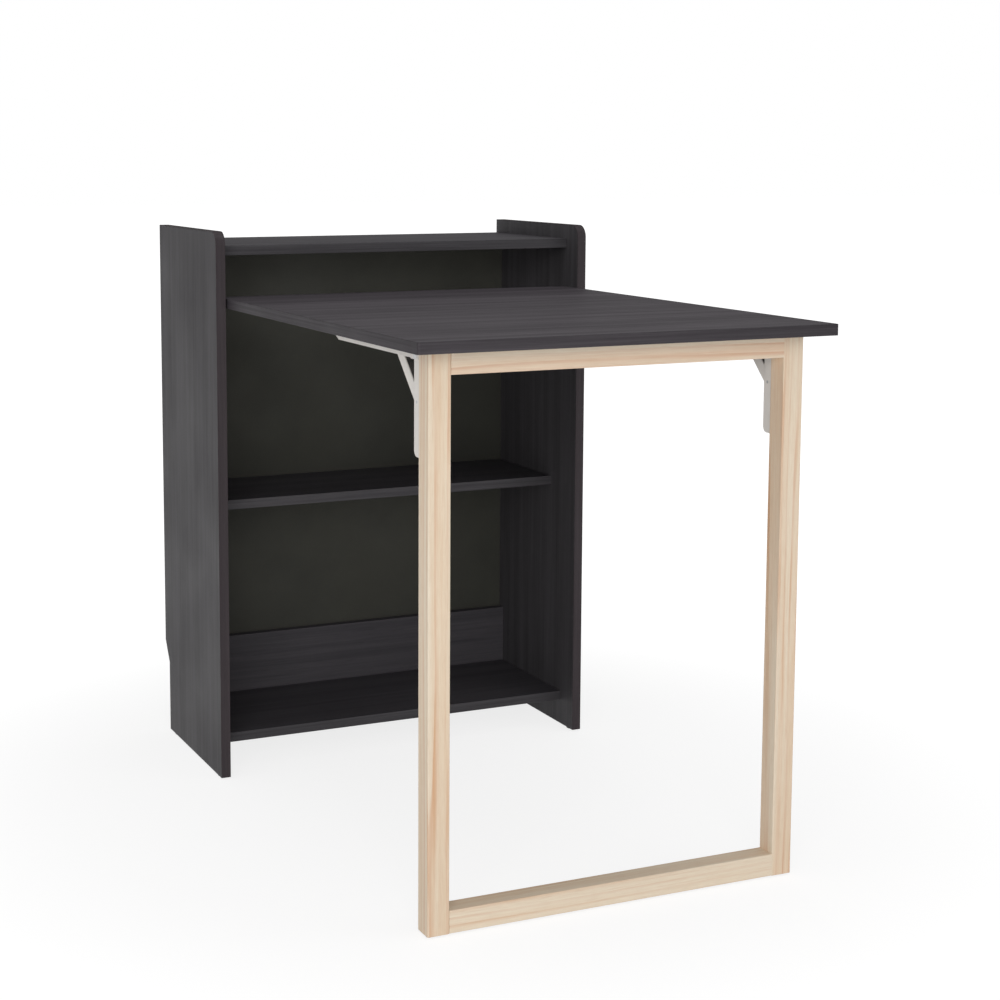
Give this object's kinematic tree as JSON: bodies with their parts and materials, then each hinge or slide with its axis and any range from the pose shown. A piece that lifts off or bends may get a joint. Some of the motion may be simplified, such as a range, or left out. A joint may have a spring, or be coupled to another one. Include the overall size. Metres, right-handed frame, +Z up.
{
  "type": "retractable desk",
  "caption": "Shallow bookcase with a desktop that turns on pivot pins between its side panels and stands on a pine leg frame, which folds on strutted brackets.",
  "frame": {"origin": "on the floor, under the middle of the whole piece's box in the rest pose", "axes": "+X to the right seen from the sitter, +Y from the desktop's front towards the cabinet's back, +Z up"},
  "size_m": [0.636, 1.01, 0.854],
  "materials": {
    "panel_laminate": "matte dark grey-brown laminate with a faint upright grain",
    "shelf_laminate": "matte dark grey-brown laminate, grain across",
    "desk_laminate": "matte dark grey-brown laminate, fine grain across",
    "edge_band": "satin edge band",
    "hardboard": "matte painted hardboard",
    "pine": "planed and clear lacquered",
    "beech": "plain",
    "white_steel": "white powder coat",
    "plated_steel": "bright plated",
    "cast_zinc": "as cast",
    "moulded_plastic": "matte moulded"
  },
  "bodies": {
    "cabinet": {"back_panel": "hardboard", "bottom_shelf": "shelf_laminate", "bottom_shelf_edging": "edge_band", "cam_bolts": "plated_steel", "cam_locks": "cast_zinc", "gallery_shelf": "shelf_laminate", "gallery_shelf_edging": "edge_band", "left_panel_edging": "edge_band", "left_pivot_bush": "moulded_plastic", "left_side_panel": "panel_laminate", "middle_shelf": "shelf_laminate", "middle_shelf_edging": "edge_band", "panel_glides": "moulded_plastic", "rear_rail": "panel_laminate", "right_panel_edging": "edge_band", "right_pivot_bush": "moulded_plastic", "right_side_panel": "panel_laminate", "shelf_dowels": "beech"},
    "desktop": {"desktop_board": "desk_laminate", "desktop_edging": "edge_band", "left_pivot_pin": "plated_steel", "right_pivot_pin": "plated_steel", "left_top_arm": "white_steel", "right_top_arm": "white_steel", "top_arm_screws": "plated_steel", "left_corner_pin": "plated_steel", "right_corner_pin": "plated_steel"},
    "leg_frame": {"left_leg": "pine", "right_leg": "pine", "top_leg_rail": "pine", "bottom_leg_rail": "pine", "frame_dowels": "beech", "leg_glides": "moulded_plastic", "left_leg_arm": "white_steel", "right_leg_arm": "white_steel", "leg_arm_screws": "plated_steel", "left_strut_pivot_pin": "plated_steel", "right_strut_pivot_pin": "plated_steel"},
    "left_strut_body": {"left_strut": "white_steel", "left_slide_pin": "plated_steel"},
    "right_strut_body": {"right_strut": "white_steel", "right_slide_pin": "plated_steel"}
  },
  "joints": [
    {"name": "desktop_fold", "type": "hinge", "parent": "cabinet", "child": "desktop", "pos_m": [0, 0.23, 0.7445], "axis": [1, 0, 0], "range_deg": [-93, 74]},
    {"name": "leg_fold", "type": "hinge", "parent": "desktop", "child": "leg_frame", "pos_m": [0, -0.4306, 0.7276], "axis": [1, 0, 0], "range_deg": [0, 90]},
    {"name": "left_strut_turn", "type": "hinge", "parent": "leg_frame", "child": "left_strut_body", "pos_m": [-0.255, -0.4306, 0.6706], "axis": [1, 0, 0], "range_deg": [-135, 0]},
    {"name": "right_strut_turn", "type": "hinge", "parent": "leg_frame", "child": "right_strut_body", "pos_m": [0.255, -0.4306, 0.6706], "axis": [1, 0, 0], "range_deg": [-135, 0]}
  ],
  "couplings": [
    {"joint": "left_strut_turn", "follows": "leg_fold", "ratio": -1.5},
    {"joint": "right_strut_turn", "follows": "leg_fold", "ratio": -1.5}
  ]
}
